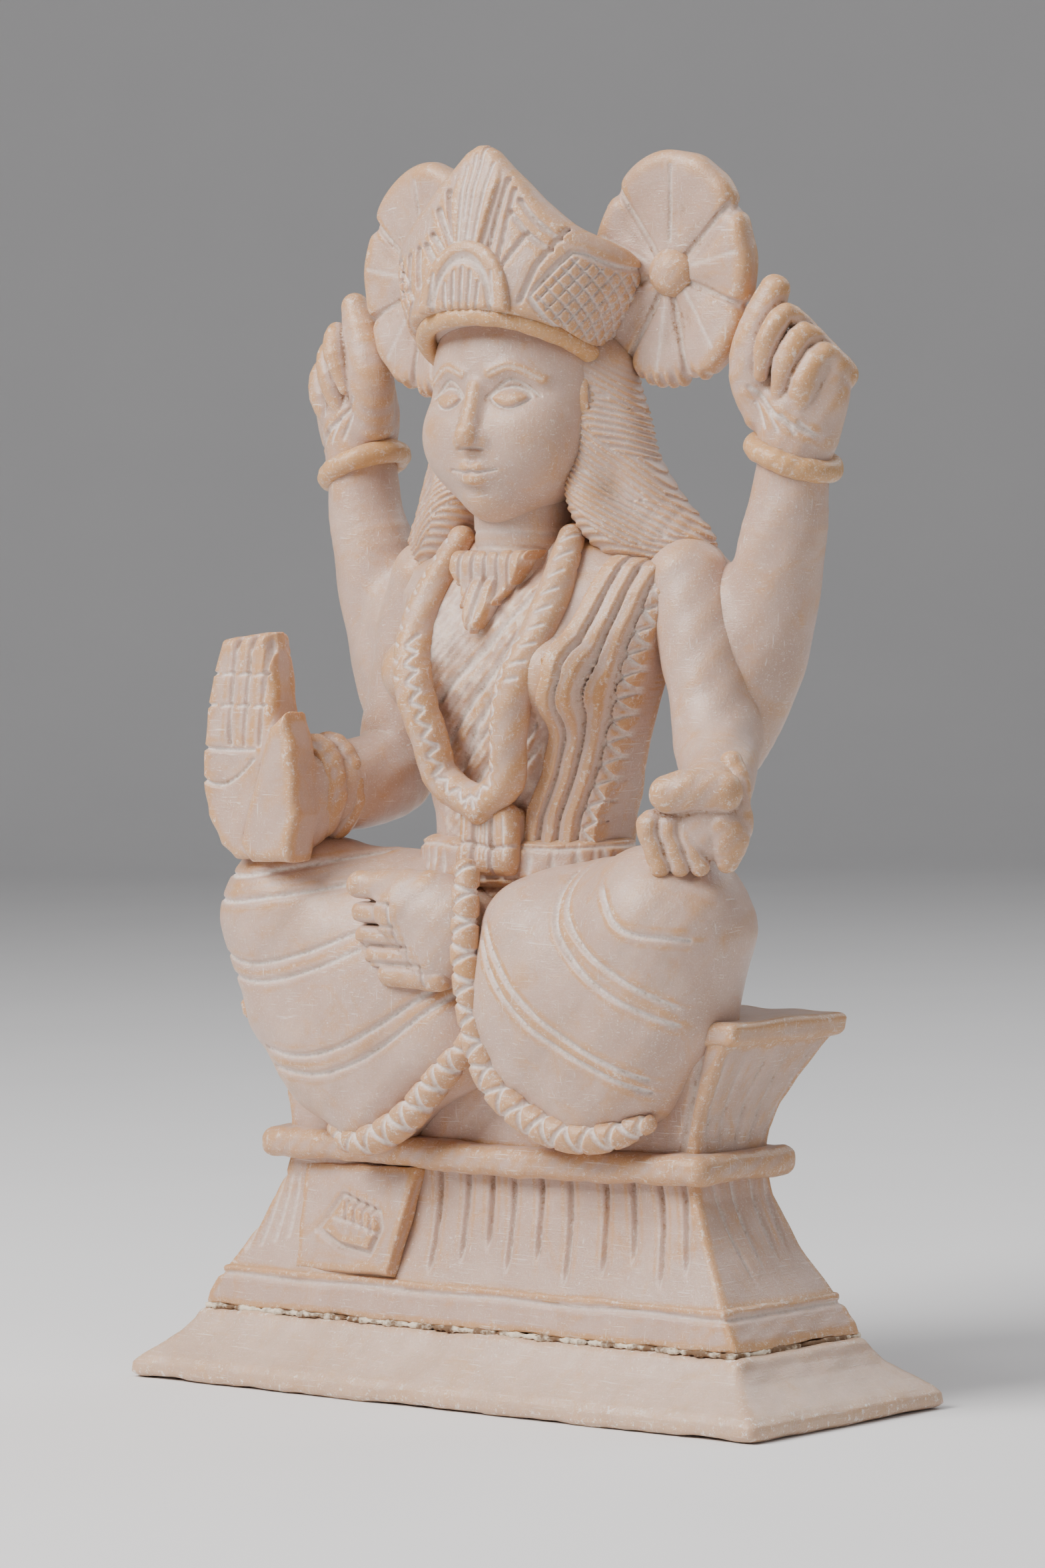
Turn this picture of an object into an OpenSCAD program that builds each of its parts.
// Seated four-armed goddess on a flared throne, glued to a stone plinth.
// Origin: on the underside of the plinth, below the middle of the throne. +Z up.
// The statue faces -Y and its left hand is toward +X.

/* [Plinth] */
// Width of the plinth at its foot
plinth_w = 99.4; // [97:0.2:103]
// Depth of the plinth at its foot
plinth_d = 36.8; // [36:0.2:40]
// Height of the plinth, up to the glue
plinth_h = 8.6; // [8.2:0.1:8.6]
// Thickness of the glue line
glue_t = 0.4; // [0.3:0.1:0.6]

/* [Throne] */
// Half width of the throne at its very bottom
base_half_w = 42.3; // [41.5:0.1:42.8]
// Number of pleats cut in the front of the base
pleat_count = 10; // [6:1:12]
// Depth of each pleat groove
pleat_depth = 1.2; // [0.8:0.1:1.4]
// Radius of the roll moulding at the waist
moulding_r = 1.7; // [1.4:0.1:1.8]
// Half width of the seat slab
seat_half_w = 39.4; // [38.6:0.1:40]
// Thickness of the seat slab
slab_t = 2.7; // [2.2:0.1:3]

/* [Lotus flowers] */
// Radius of each flower across its width
lotus_rx = 11; // [10.6:0.1:11.4]
// Radius of each flower along its height
lotus_rz = 14.2; // [13.8:0.1:14.6]
// Thickness of each flower
lotus_t = 3.9; // [3.4:0.1:4.2]
// Angle by which each flower turns outward
lotus_splay = 6; // [0:1:10]
// Radius of the boss in the middle of each flower
boss_r = 2.8; // [2.4:0.1:3]

/* [Ornaments] */
// Radius of each bangle, to the middle of its roll
bangle_r = 4.7; // [4.5:0.1:5]
// Thickness of each bangle's roll
bangle_t = 2.7; // [2.3:0.1:2.9]
// Radius of the crown band, to the middle of its roll
band_r = 10.8; // [10.6:0.1:11]
// Thickness of the crown band's roll
band_t = 2.4; // [2:0.1:2.6]
// Thickness of the garland strands
garland_t = 4.2; // [3.8:0.1:4.4]

/* [Hidden] */
$fn = 48;

stone = [0.80, 0.70, 0.62];
amber = [0.78, 0.64, 0.50];
glue_colour = [0.62, 0.52, 0.42];

plinth_y = -0.6;
glue_z = plinth_h;
band_z = plinth_h + glue_t;
base_z = 13.7;
waist_z = 27.6;
moulding_z = 29.1;
seat_z = 30.6;
seat_top = 46.8;
flower_x = 19.6;
flower_y = 6;
flower_z = 134.9;
soft = 14;
fine = 10;

// ---------------------------------------------------------------- helpers

// A ball for the organic shapes.
module ball(p, r, n = soft) {
    translate(p) sphere(r = r, $fn = n);
}

// A tapered limb between two balls.
module limb(p, pr, q, qr, n = soft) {
    hull() {
        ball(p, pr, n);
        ball(q, qr, n);
    }
}

// A chain of limbs through rows of [x, y, z, radius].
module chain(rows, n = soft) {
    for (i = [0 : len(rows) - 2]) {
        limb([for (k = [0:2]) rows[i][k]], rows[i][3], [for (k = [0:2]) rows[i + 1][k]], rows[i + 1][3], n);
    }
}

// One smooth mass round all the balls in rows of [x, y, z, radius].
module mass(rows, n = soft) {
    hull() for (b = rows) ball([b[0], b[1], b[2]], b[3], n);
}

// A block seen from the front as one outline and from the side as another.
module two_way(front, side, half_w, y_lo, y_hi) {
    intersection() {
        translate([0, y_hi + 1, 0]) rotate([90, 0, 0]) linear_extrude(height = y_hi - y_lo + 2) polygon(front);
        translate([-half_w - 1, 0, 0]) rotate([90, 0, 90]) linear_extrude(height = 2 * half_w + 2) polygon(side);
    }
}

// An outline mirrored about the middle, from rows of [half width, height] listed upward.
function both_sides(rows) = concat(
    [for (r = rows) [r[0], r[1]]],
    [for (i = [len(rows) - 1 : -1 : 0]) [-rows[i][0], rows[i][1]]]
);

// A side outline from rows of [front y, back y, height] listed upward.
function front_back(rows) = concat(
    [for (r = rows) [r[1], r[2]]],
    [for (i = [len(rows) - 1 : -1 : 0]) [rows[i][0], rows[i][2]]]
);

// A closed loft through level rings, rows of [height, half width, front y, back y].
module loft(rows, sides = 28, power = 0.85) {
    count = len(rows);
    points = [
        for (r = rows)
            for (i = [0 : sides - 1])
                let (
                    c = cos(360 * i / sides),
                    s = sin(360 * i / sides),
                    mid = (r[2] + r[3]) / 2,
                    half = (r[3] - r[2]) / 2
                )
                [r[1] * sign(c) * pow(abs(c), power), mid + half * sign(s) * pow(abs(s), power), r[0]]
    ];
    walls = [
        for (k = [0 : count - 2])
            for (i = [0 : sides - 1])
                let (a = k * sides + i, b = k * sides + (i + 1) % sides)
                each [[a, a + sides, b], [b, a + sides, b + sides]]
    ];
    bottom = [for (i = [0 : sides - 1]) i];
    top = [for (i = [sides - 1 : -1 : 0]) (count - 1) * sides + i];
    polyhedron(points = points, faces = concat([bottom], walls, [top]), convexity = 6);
}

// A V groove standing upright in a front face that leans back as it rises.
module front_groove(x, z_lo, y_lo, z_hi, y_hi, wide, deep) {
    rise = z_hi - z_lo;
    lean = atan((y_hi - y_lo) / rise);
    translate([x, y_lo, z_lo]) rotate([-lean, 0, 0])
        linear_extrude(height = rise / cos(lean))
            polygon([[-wide / 2, -1], [wide / 2, -1], [wide / 2, 0], [0, deep], [-wide / 2, 0]]);
}

// The same groove in the right or left side face.
module side_groove(side, y, z_lo, x_lo, z_hi, x_hi, wide, deep) {
    rise = z_hi - z_lo;
    lean = atan((x_hi - x_lo) / rise);
    translate([side * x_lo, y, z_lo]) rotate([0, side * lean, 0])
        linear_extrude(height = rise / cos(lean))
            polygon([
                [side, -wide / 2], [side, wide / 2], [0, wide / 2], [-side * deep, 0], [0, -wide / 2]
            ]);
}

// ---------------------------------------------------------------- plinth

module plinth() {
    w = plinth_w / 2;
    f = plinth_y - plinth_d / 2;
    b = plinth_y + plinth_d / 2;
    h = plinth_h;
    color(stone) two_way(
        both_sides([
            [w - 0.6, 0], [w, 0.7], [w, 2], [w - 0.8, 2.9], [w - 2.8, 4.2],
            [w - 4.6, 5.7], [w - 6, 7.3], [w - 6.6, h]
        ]),
        front_back([
            [f + 0.6, b - 0.6, 0], [f, b, 0.7], [f, b, 2], [f + 0.7, b - 0.7, 2.9], [f + 2.3, b - 2.5, 4.2],
            [f + 4, b - 4.5, 5.7], [f + 5.2, b - 5.9, 7.3], [f + 5.8, b - 6.6, h]
        ]),
        w, f, b
    );
}

module glue_line() {
    w = base_half_w - 0.1;
    color(glue_colour) translate([0, 0, glue_z]) linear_extrude(height = glue_t)
        polygon([
            [-w, -12.2], [-30, -12.6], [-12, -12.3], [6, -12.7], [24, -12.4], [w, -12.6],
            [w - 0.3, -2], [w, 10.7], [18, 10.4], [-4, 10.8], [-25, 10.5], [-w, 10.7], [-w + 0.4, 0]
        ]);
}

// ---------------------------------------------------------------- throne

module throne_base_band() {
    w = base_half_w;
    color(stone) difference() {
        two_way(
            both_sides([[w, band_z], [w - 0.4, 10.4], [w - 1.6, 12.4], [w - 2.1, base_z]]),
            front_back([[-12.5, 10.7, band_z], [-12.4, 10.6, 10.4], [-12.1, 10.3, 12.4], [-11.9, 10.1, base_z]]),
            w, -12.5, 10.7
        );
        translate([-w, -12.9, 12.5]) cube([2 * w, 1.1, 0.45]);
        translate([w - 2.1, -13, 12.5]) cube([3, 25, 0.45]);
    }
}

module throne_base() {
    first_x = -7.6;
    gap = 41.6 / pleat_count;
    color(stone) difference() {
        two_way(
            both_sides([
                [40, base_z], [38, 16.4], [36.1, 19.4], [34.3, 22.6], [33, 25.4], [32.3, waist_z]
            ]),
            front_back([
                [-11.6, 9.8, base_z], [-10.4, 8.8, 16.4], [-9.3, 7.9, 19.4],
                [-8.3, 7.1, 22.6], [-7.7, 6.6, 25.4], [-7.4, 6.3, waist_z]
            ]),
            40, -11.6, 9.8
        );
        for (i = [0 : pleat_count - 1]) {
            front_groove(first_x + gap * (i + 0.5), 15.4, -10.5, 26.6, -7.2, 2.2, pleat_depth);
        }
        for (y = [-3.4, 0.6, 4.4]) side_groove(1, y, 14.8, 38.2, 26.8, 32.2, 1.2, 0.9);
        for (y = [-3.4, 0.6, 4.4]) side_groove(-1, y, 14.8, 38.2, 26.8, 32.2, 1.2, 0.9);
    }
}

module footprint_panel() {
    toe_x = [-22.6, -21, -19.5, -18.1, -16.5];
    color(stone) translate([0, -10.9, 15]) rotate([-17, 0, 0]) {
        translate([0, 0.6, 0]) rotate([90, 0, 0]) linear_extrude(height = 1.6)
            polygon([[-28, -0.6], [-13.6, -0.6], [-8.6, 12], [-29.6, 12]]);
        translate([0, -0.8, 0]) rotate([90, 0, 0]) linear_extrude(height = 0.7)
            polygon([[-23, -0.2], [-15.6, -0.4], [-15, 3.8], [-16, 6], [-22.6, 6.2], [-23.6, 3.4]]);
        for (i = [0:4]) {
            translate([toe_x[i], -1.1, 4.6]) cylinder(r = 0.72, h = 2.4 + 0.15 * i);
        }
    }
}

module throne_moulding() {
    w = 35.3 - moulding_r;
    f = -10.2 + moulding_r;
    b = 8.6 - moulding_r;
    color(stone) translate([0, 0, moulding_z]) {
        translate([-w, f, -1.5]) cube([2 * w, b - f, 3]);
        for (y = [f, b]) translate([-w, y, 0]) rotate([0, 90, 0]) cylinder(r = moulding_r, h = 2 * w);
        for (x = [-w, w]) translate([x, f, 0]) rotate([-90, 0, 0]) cylinder(r = moulding_r, h = b - f);
        for (x = [-w, w]) for (y = [f, b]) translate([x, y, 0]) sphere(r = moulding_r);
    }
}

module throne_seat() {
    slab_z = seat_top - slab_t;
    color(stone) difference() {
        two_way(
            both_sides([
                [32.5, seat_z], [32.7, 33], [33.5, 36], [34.8, 39], [36.5, 42], [37.9, slab_z]
            ]),
            front_back([
                [-7.4, 6.4, seat_z], [-7.4, 6.6, 33], [-7.6, 7.5, 36],
                [-7.8, 9, 39], [-8, 11, 42], [-8.2, 12.5, slab_z]
            ]),
            38, -8.2, 12.5
        );
        for (y = [-4.6, -1.2, 2.2, 5.2]) side_groove(1, y, 32, 32.2, 42.6, 36.7, 1, 0.7);
        for (y = [-4.6, -1.2, 2.2, 5.2]) side_groove(-1, y, 32, 32.2, 42.6, 36.7, 1, 0.7);
    }
}

module seat_slab() {
    low = seat_top - slab_t;
    w = seat_half_w;
    color(stone) two_way(
        both_sides([[w - 1, low], [w - 0.3, low + 0.6], [w, seat_top - 0.7], [w - 0.5, seat_top]]),
        front_back([
            [-8.2, 12.6, low], [-8.5, 13, low + 0.6], [-8.6, 13.3, seat_top - 0.7], [-8.2, 12.9, seat_top]
        ]),
        w, -8.6, 13.3
    );
}

// ---------------------------------------------------------------- legs

right_leg_mass = [
    [-11, 1, 56, 8.5], [-29.4, -7.5, 57, 9.5], [-28, -7.5, 48, 7.5], [-22.4, -8.4, 40, 6.6],
    [-16, -9, 34.6, 5], [-4, -8.6, 42, 4.6], [-3, -6, 54, 6]
];
left_leg_mass = [
    [11, 1, 56, 8.5], [28.4, -7, 57, 9.5], [28.4, -6.6, 48, 7.2], [24.6, -8, 41, 6],
    [20, -9.3, 36.6, 4.6], [9.5, -9.6, 41, 4.6], [6.6, -9.6, 46, 5.6], [7.4, -8.6, 55, 7]
];

module right_leg() {
    color(stone) difference() {
        union() {
            mass(right_leg_mass, 22);
            limb([-28.6, -7, 52], 9, [-16, -8, 46], 9, 18);
        }
        mass(left_leg_mass, 18);
        chain([[-37, -12, 59.6, 0.45], [-30, -17, 59.2, 0.5], [-20, -17.6, 60.6, 0.45]], 6);
        chain([[-36, -12, 50.4, 0.45], [-28, -17, 49.6, 0.5], [-18, -17.6, 51.8, 0.45]], 6);
        chain([[-29, -12.6, 41.4, 0.45], [-21, -15.8, 41, 0.5], [-13.4, -16.6, 43.2, 0.45]], 6);
    }
}

module left_leg() {
    color(stone) difference() {
        union() {
            mass(left_leg_mass, 22);
            limb([27.6, -7, 53], 9, [16, -9, 49], 8.4, 18);
        }
        chain([[16.4, -17.8, 61.6, 0.45], [18.4, -18.2, 58, 0.5], [23, -17.8, 53.4, 0.5], [31.6, -14.4, 48.6, 0.4]], 6);
        chain([[6.2, -16.6, 55.6, 0.5], [9.4, -17.2, 51, 0.5], [18, -16.8, 44.6, 0.45], [28, -13, 39.6, 0.4]], 6);
        chain([[25, -16.8, 62, 0.4], [29.6, -16.6, 58, 0.45], [35.4, -13.2, 56.8, 0.4]], 6);
    }
}

// Rolled cloth edges that meet below the crossed foot.
module right_hem() {
    color(stone) chain([
        [-20.2, -12.2, 31.6, 1.1], [-17.4, -13.2, 30.7, 1.4], [-14, -13.8, 30.7, 1.6], [-10.4, -14, 32, 1.6],
        [-6.5, -13.8, 34.5, 1.5], [-3.6, -13.6, 37.4, 1.5], [-0.6, -13.6, 40.2, 1.4], [2, -13.8, 42.6, 1.3],
        [3.4, -14, 44.6, 1]
    ], fine);
}

module left_hem() {
    color(stone) chain([
        [2.1, -11.6, 62.4, 1.2], [2.9, -13.6, 57.2, 1.5], [3.8, -14.8, 51.4, 1.6], [4.4, -15, 46.3, 1.6],
        [5.8, -14.8, 41.3, 1.6], [8.4, -14.4, 37.8, 1.7], [12.8, -14.2, 34.6, 1.7], [18.2, -13.6, 33.2, 1.7],
        [23.4, -12.4, 33.2, 1.6], [27.6, -11, 34.6, 1.3]
    ], fine);
}

module crossed_foot() {
    color(stone) union() {
        mass([[0, -13.2, 58.4, 4], [-5, -14, 58.2, 4], [-3, -14.2, 53.6, 3.8], [-7.4, -14.8, 53.6, 3.2]], 16);
        chain([[-6, -15, 61.6, 1.8], [-10, -15.4, 61.8, 1.65], [-13.4, -15.6, 61.6, 1.6]], fine);
        for (i = [0:3]) {
            z = 58.4 - 2.5 * i;
            tip = -13 + 0.9 * i;
            chain([[tip + 5.4, -15.6, z, 1.25], [tip + 2.4, -16.2, z, 1.15], [tip, -16, z - 0.2, 1.25]], 8);
        }
    }
}

// ---------------------------------------------------------------- body

torso_rows = [
    [60.5, 14.2, -5.6, 9.4], [65, 13.4, -5.4, 9], [70, 13.6, -5.4, 8.8], [75, 14.8, -6, 9],
    [80, 16.4, -6.8, 9.8], [86, 18, -7.4, 10.6], [92, 19.4, -6.8, 11.2], [96.5, 20.4, -4.4, 11.4],
    [99.6, 18.8, -2, 11.2], [101.4, 13, -0.8, 9.6], [102.4, 7, 0, 8]
];

module torso() {
    color(stone) union() {
        loft(torso_rows, 28);
        for (s = [-1, 1]) {
            limb([s * 9, -2, 87], 8, [s * 10.8, -9.2, 85.6], 2.4, 16);
            limb([s * 9, -2, 87], 8, [s * 8, -3, 92], 5.6, 16);
            limb([s * 8, 2, 78], 7, [s * 9.6, -2.6, 85], 7.4, 14);
            limb([s * 15, 6.4, 96], 5.2, [s * 19, 7, 96.4], 4.6, 14);
        }
    }
}

module belt() {
    ring_low = [for (i = [0:39]) [15.2 * cos(9 * i), 1.2 + 8.6 * sin(9 * i)]];
    ring_in = [for (i = [0:39]) [12.6 * cos(9 * i), 1.2 + 6.2 * sin(9 * i)]];
    color(stone) translate([0, 0, 61.8]) difference() {
        linear_extrude(height = 4.6) polygon(ring_low);
        translate([0, 0, -1]) linear_extrude(height = 7) polygon(ring_in);
        for (a = [200 : 14 : 340]) {
            translate([15.2 * cos(a), 1.2 + 8.6 * sin(a), 0.9]) rotate([0, 0, a])
                cube([1, 0.7, 5.6], center = true);
        }
    }
}

module belt_knot() {
    color(stone) union() {
        chain([[-3.6, -8.4, 68.6, 1.6], [-3.9, -9.2, 65.4, 1.9], [-3.7, -9.2, 62.4, 1.5]], fine);
        chain([[0, -8.8, 69.4, 1.7], [0, -9.8, 65.6, 2.1], [0, -9.8, 62.2, 1.7]], fine);
        chain([[3.6, -8.4, 68.6, 1.6], [3.9, -9.2, 65.4, 1.9], [3.7, -9.2, 62.4, 1.5]], fine);
        chain([[-4, -8, 69.2, 1.5], [0, -8.8, 70, 1.6], [4, -8, 69.2, 1.5]], fine);
    }
}

// Five long pleats from the left shoulder to the belt.
module shoulder_sash() {
    color(stone) for (i = [0:4]) {
        chain([
            [12 + 2.4 * i, -1.2 + 1.6 * i, 100.2 - 0.5 * i, 1.5],
            [10.4 + 2.4 * i, -5.6 + 1.7 * i, 93.6, 1.6],
            [9 + 2.3 * i, -8.2 + 1.6 * i, 86, 1.6],
            [6.2 + 2.2 * i, -6.6 + 1.1 * i, 76, 1.5],
            [4.6 + 2.1 * i, -5.9 + 0.9 * i, 67, 1.4]
        ], 8);
    }
}

module garland() {
    t = garland_t / 2;
    left_strand = [
        [8.4, -1.6, 101, t - 0.6], [9.4, -5.2, 96, t - 0.2], [9, -8.4, 90, t], [7.2, -10, 85, t],
        [5.6, -9.6, 79, t], [4.6, -8.8, 74.6, t - 0.2], [0, -8.6, 71.6, t - 0.3]
    ];
    right_strand = [for (r = left_strand) [-r[0], r[1], r[2], r[3]]];
    color(stone) union() {
        chain(left_strand, fine);
        chain(right_strand, fine);
    }
}

module necklace() {
    color(stone) union() {
        for (i = [-3:3]) {
            limb([i * 1.5, -2.9 + 0.12 * i * i, 100], 0.8, [i * 1.8, -5.9 + 0.1 * i * i, 95.6], 0.9, 8);
        }
        limb([0, -6, 95], 1.6, [0, -7.4, 91.6], 0.9, fine);
    }
}

module neck() {
    color(stone) translate([0, 1.8, 99.6]) rotate([6, 0, 0]) cylinder(r = 5.3, h = 8.6);
}

// ---------------------------------------------------------------- head

module head() {
    color(stone) union() {
        mass([
            [0, 1.2, 122.6, 9.8], [0, 0, 118, 9.6], [-3.6, -2.2, 112.6, 6.4], [3.6, -2.2, 112.6, 6.4],
            [0, -4.6, 108.4, 3.1]
        ], 28);
        chain([[0, -8.4, 121.6, 0.9], [0, -10, 117.6, 1.1], [0, -10.6, 115.4, 1.5]], fine);
        for (s = [-1, 1]) {
            chain([[s * 1.6, -8.3, 122, 0.5], [s * 4.6, -8, 123.6, 0.55], [s * 7.6, -6, 122.2, 0.5]], 8);
            chain([[s * 2.4, -8, 119.6, 0.9], [s * 4.6, -7.4, 119.8, 1.3], [s * 6.8, -5.9, 119.4, 0.8]], 8);
            limb([0, -8.8, 111.7], 0.8, [s * 2, -8, 111.9], 0.6, 8);
            limb([s * 0.9, -9.7, 115.2], 0.9, [s * 1.5, -9.1, 115.2], 0.8, 8);
        }
        limb([-1, -8.6, 110.4], 0.8, [1, -8.6, 110.4], 0.8, 8);
    }
}

module right_ear() {
    color(stone) mass([[-10.2, 0.8, 122, 1.3], [-10.4, 1.6, 118.6, 1.5], [-9.9, 0.6, 114.8, 1.2]], soft);
}

module left_ear() {
    color(stone) mass([[10.2, 0.8, 122, 1.3], [10.4, 1.6, 118.6, 1.5], [9.9, 0.6, 114.8, 1.2]], soft);
}

// Long hair down the nape and over both shoulders.
module hair() {
    color(stone) union() {
        mass([[0, 5.6, 122, 7.4], [-9.4, 4.8, 121.6, 4], [9.4, 4.8, 121.6, 4], [0, 7.8, 108, 5.2]], 18);
        for (s = [-1, 1]) {
            mass([[s * 11.2, 5.2, 121.4, 3.6], [s * 12.2, 5.8, 114, 4.2], [0, 7, 112, 5]], soft);
            mass([[s * 12.2, 5.8, 114, 4.2], [s * 14, 6.4, 106, 4.4], [0, 7.6, 104, 5.6]], soft);
            mass([[s * 14, 6.4, 106, 4.4], [s * 19, 8, 101, 3.2], [s * 4, 8, 100, 4.6]], soft);
            limb([s * 12, 4.4, 105], 3.4, [s * 20.4, 8, 100], 2.6, soft);
        }
    }
}

module crown_band() {
    color(amber) translate([0, -0.2, 124.8]) rotate([-26, 0, 0])
        rotate_extrude() translate([band_r, 0]) circle(r = band_t / 2, $fn = 24);
}

// Tall tiara: wide and low over the ears, rising to one point in front.
module crown() {
    color(stone) difference() {
        loft([
            [122.6, 10.6, -5.4, 9.2], [126, 11.2, -9, 8.8], [129.8, 12.6, -10, 8], [134, 15.6, -9.8, 7],
            [137.4, 16.8, -9, 6], [139.4, 12.6, -8.4, 4.6], [143, 8.2, -7.4, 1.6], [147, 4.2, -6, -1.4],
            [150, 0.7, -4.8, -3.2]
        ], 28, 0.9);
        for (s = [-1, 1]) {
            limb([s * 6.4, -10.2, 134], 0.5, [s * 9, -8.6, 139.4], 0.5, 6);
            limb([s * 9, -9.6, 132.6], 0.5, [s * 12.4, -7.6, 137.6], 0.5, 6);
            limb([s * 4, -9.8, 138.6], 0.5, [s * 3, -7.4, 144.6], 0.5, 6);
            limb([s * 12, -8, 131], 0.5, [s * 15.6, -4.6, 136.8], 0.5, 6);
        }
    }
}

module crown_medallion() {
    color(stone) translate([0, -8.8, 130]) rotate([82, 0, 0]) union() {
        linear_extrude(height = 1.7)
            polygon([for (i = [0:12]) [6.6 * cos(15 * i), 7.8 * sin(15 * i)]]);
        linear_extrude(height = 2.3)
            polygon([for (i = [0:12]) [4.2 * cos(15 * i), 5.4 * sin(15 * i)]]);
        for (i = [-1:1]) translate([2 * i, 0.4, 2.2]) rotate([-90, 0, 0]) cylinder(r = 0.6, h = 3.2);
    }
}

// ---------------------------------------------------------------- lotuses

// The place and turn of one flower: the middle of its front face.
module at_flower(side) {
    translate([side * flower_x, flower_y, flower_z]) rotate([0, 0, side * lotus_splay]) children();
}

// Five broad petals round a flat flower, notched where they meet.
module lotus(side) {
    petal_angles = [90, 162, 234, 306, 18];
    color(stone) at_flower(side) translate([0, lotus_t, 0]) rotate([90, 0, 0]) difference() {
        linear_extrude(height = lotus_t)
            polygon([
                for (i = [0:71])
                    let (
                        a = 5 * i,
                        from_petal = abs((a + 18) % 72 - 36),
                        notch = 0.9 * pow(max(0, 1 - (36 - from_petal) / 9), 2)
                    )
                    [(lotus_rx - notch) * cos(a), (lotus_rz - notch) * sin(a)]
            ]);
        for (a = petal_angles) rotate([0, 0, a + 36]) translate([2.6, -0.35, lotus_t - 0.5])
            cube([lotus_rz, 0.7, 1]);
    }
}

module right_lotus() {
    lotus(-1);
}

// A pointed web of stone is left between this flower and the crown.
module left_lotus() {
    color(stone) union() {
        lotus(1);
        translate([0, 9, 0]) rotate([90, 0, 0]) linear_extrude(height = 3)
            polygon([[6.6, 136], [10.2, 143.2], [13.6, 137]]);
    }
}

module lotus_boss(side) {
    color(stone) at_flower(side) translate([0, 0.4, -0.7]) rotate([90, 0, 0]) intersection() {
        cylinder(r = boss_r, h = 2);
        translate([0, 0, -1.6]) sphere(r = 3.5);
    }
}

module right_lotus_boss() {
    lotus_boss(-1);
}

module left_lotus_boss() {
    lotus_boss(1);
}

// ---------------------------------------------------------------- front arms

module front_right_arm() {
    color(stone) chain([
        [-20.8, 6.6, 97, 4.9], [-22.4, 6.2, 91.6, 4.9], [-23.8, 6, 86, 4.7], [-24.6, 6, 80.6, 4.7],
        [-24.8, 5, 76.2, 5.2], [-25, 2, 74.2, 5.4], [-25.4, -1.4, 73.4, 5.5], [-25.9, -4.6, 73.2, 5.4],
        [-26.3, -6.6, 73.2, 5.3]
    ]);
}

module front_left_arm() {
    color(stone) chain([
        [21.4, 6.2, 97, 4.9], [24, 5.4, 91.6, 5], [26, 4.6, 86, 4.9], [27.6, 4, 80.6, 4.8],
        [28.8, 2.2, 77, 4.8], [30.4, -0.6, 76, 4.6], [31.8, -3.4, 75, 4.4], [33, -6.2, 74, 4.1],
        [33.6, -8.8, 73.2, 3.9]
    ]);
}

module wrist_cuff() {
    color(stone) for (k = [0, 1]) {
        translate([-26 - 0.5 * k, -7.2 - 2.2 * k, 73.1]) rotate([90, 0, 12])
            rotate_extrude() translate([5, 0]) circle(r = 1.35, $fn = 24);
    }
    color(stone) translate([-25.8, -5.8, 73.1]) rotate([90, 0, 12]) cylinder(r = 5.2, h = 4.8);
}

module raised_hand() {
    color(stone) union() {
        mass([
            [-35.8, -14.2, 79, 2.3], [-28.6, -13.6, 79, 2.6], [-36.2, -14, 72, 2.4], [-28.6, -13, 71, 3],
            [-31.6, -13.4, 67.6, 2.6]
        ], soft);
        for (i = [0:3]) {
            x = -36.6 + 3 * i;
            top = [90, 90.8, 91.2, 91.2][i];
            chain([[x, -14.2, 78, 1.8], [x, -14.2, 84, 1.8], [x, -13.8, top, 1.5]], fine);
        }
        chain([[-27.4, -14, 67.6, 2.6], [-25.4, -15.2, 73.6, 2.3], [-23, -15.4, 79.6, 1.5]], fine);
        limb([-29, -12, 72.6], 3.4, [-27.4, -10, 72.8], 3.4, soft);
    }
}

module lowered_hand() {
    color(stone) union() {
        mass([[33.8, -10.6, 72.2, 3.8], [31.8, -13.2, 71.4, 3], [35.2, -11.6, 71, 3.2], [33.6, -13.8, 69.2, 2.8]], soft);
        for (i = [0:3]) {
            x = 30 + 2.3 * i;
            y = -16 + 1.6 * i;
            chain([[x + 1, y + 3, 71.4, 1.4], [x, y, 70.4, 1.5], [x, y, 68, 1.4], [x, y + 0.9, 66.2, 1.2]], fine);
        }
        chain([[35.6, -9.6, 74, 2.2], [32.6, -13, 74, 2.1], [30.4, -15.2, 73.4, 1.8]], fine);
    }
}

// ---------------------------------------------------------------- rear arms

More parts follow.
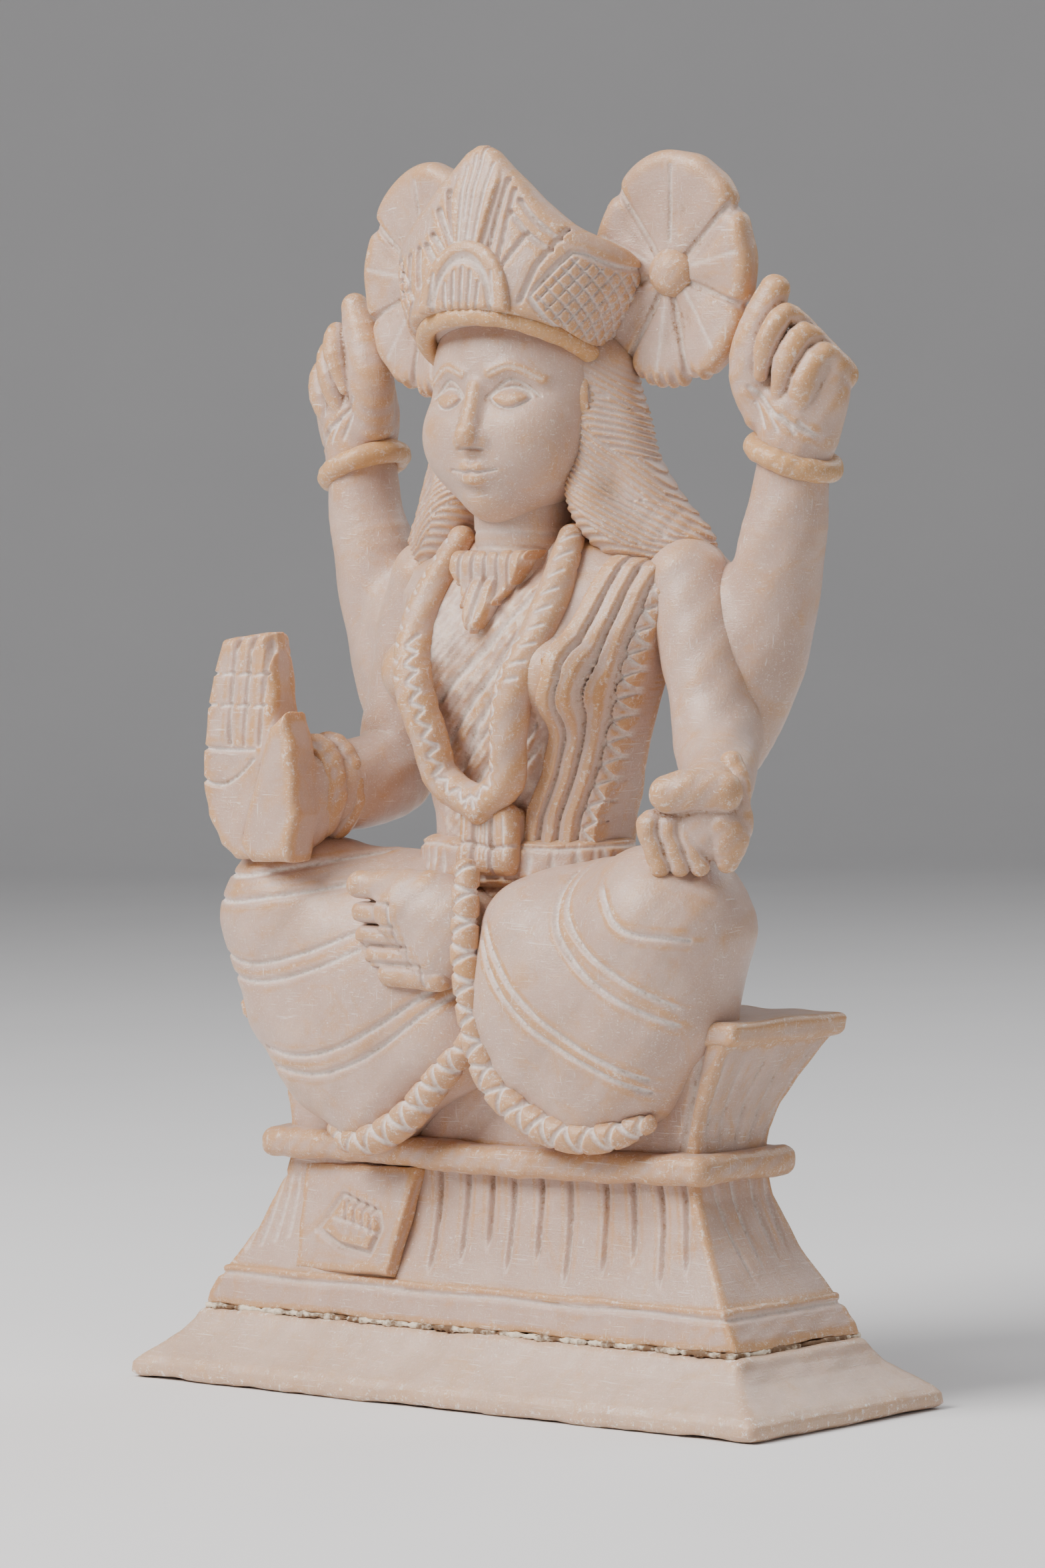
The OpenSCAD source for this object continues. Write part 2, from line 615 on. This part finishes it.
module rear_arm(side) {
    color(stone) union() {
        chain([
            [side * 34.6, 11, 110, 4.6], [side * 34, 11, 106, 4.8], [side * 32.4, 10.9, 100.6, 5.3],
            [side * 31, 10.6, 95, 5.4], [side * 29.2, 10.2, 89.6, 5.3], [side * 27.6, 9.7, 84.4, 5.2],
            [side * 25.8, 8.8, 80, 4.9]
        ]);
        mass([
            [side * 21, 8.4, 98, 4.6], [side * 31, 10.6, 97, 4.6], [side * 25.6, 8.8, 80.4, 4.8],
            [side * 28, 9.6, 86, 5]
        ]);
        limb([side * 20, 8.6, 97], 4.4, [side * 25, 9, 92], 4.8);
    }
}

module rear_right_arm() {
    rear_arm(-1);
}

module rear_left_arm() {
    rear_arm(1);
}

module bangle(side) {
    color(amber) translate([side * 34.5, 11.3, 112.1]) rotate([0, side * 17, 0]) union() {
        rotate_extrude() translate([bangle_r, 0]) circle(r = bangle_t / 2, $fn = 24);
        cylinder(r = bangle_r, h = bangle_t - 0.6, center = true);
    }
}

module right_bangle() {
    bangle(-1);
}

module left_bangle() {
    bangle(1);
}

// Palm up behind the flower, finger and thumb on its rim, three fingers curled outward.
module rear_hand(side) {
    color(stone) union() {
        mass([
            [side * 35, 11.2, 113.6, 4.3], [side * 35.4, 11, 118, 4.6], [side * 38, 11, 120.4, 4],
            [side * 33, 10.4, 122, 3.4]
        ]);
        chain([
            [side * 32.6, 9.6, 121, 2.8], [side * 31.6, 8.8, 126, 2.4], [side * 32.6, 8.4, 129.8, 2.1],
            [side * 33.6, 8.4, 131.8, 1.8]
        ], fine);
        for (i = [0:2]) {
            x = 36.2 + 1.8 * i;
            y = 8.2 + 1.1 * i;
            z = 127.6 - 2.2 * i;
            r = 1.6 + 0.25 * i;
            chain([
                [side * (x + 0.6), y + 2.4, z - 2, r], [side * x, y, z, r], [side * (x - 2.2), y - 1.2, z - 5, r]
            ], fine);
        }
    }
}

module rear_right_hand() {
    rear_hand(-1);
}

module rear_left_hand() {
    rear_hand(1);
}

plinth();
glue_line();
throne_base_band();
throne_base();
footprint_panel();
throne_moulding();
throne_seat();
seat_slab();
right_leg();
left_leg();
right_hem();
left_hem();
crossed_foot();
torso();
belt();
belt_knot();
shoulder_sash();
garland();
necklace();
neck();
head();
right_ear();
left_ear();
hair();
crown_band();
crown();
crown_medallion();
right_lotus();
left_lotus();
right_lotus_boss();
left_lotus_boss();
front_right_arm();
front_left_arm();
wrist_cuff();
raised_hand();
lowered_hand();
rear_right_arm();
rear_left_arm();
right_bangle();
left_bangle();
rear_right_hand();
rear_left_hand();
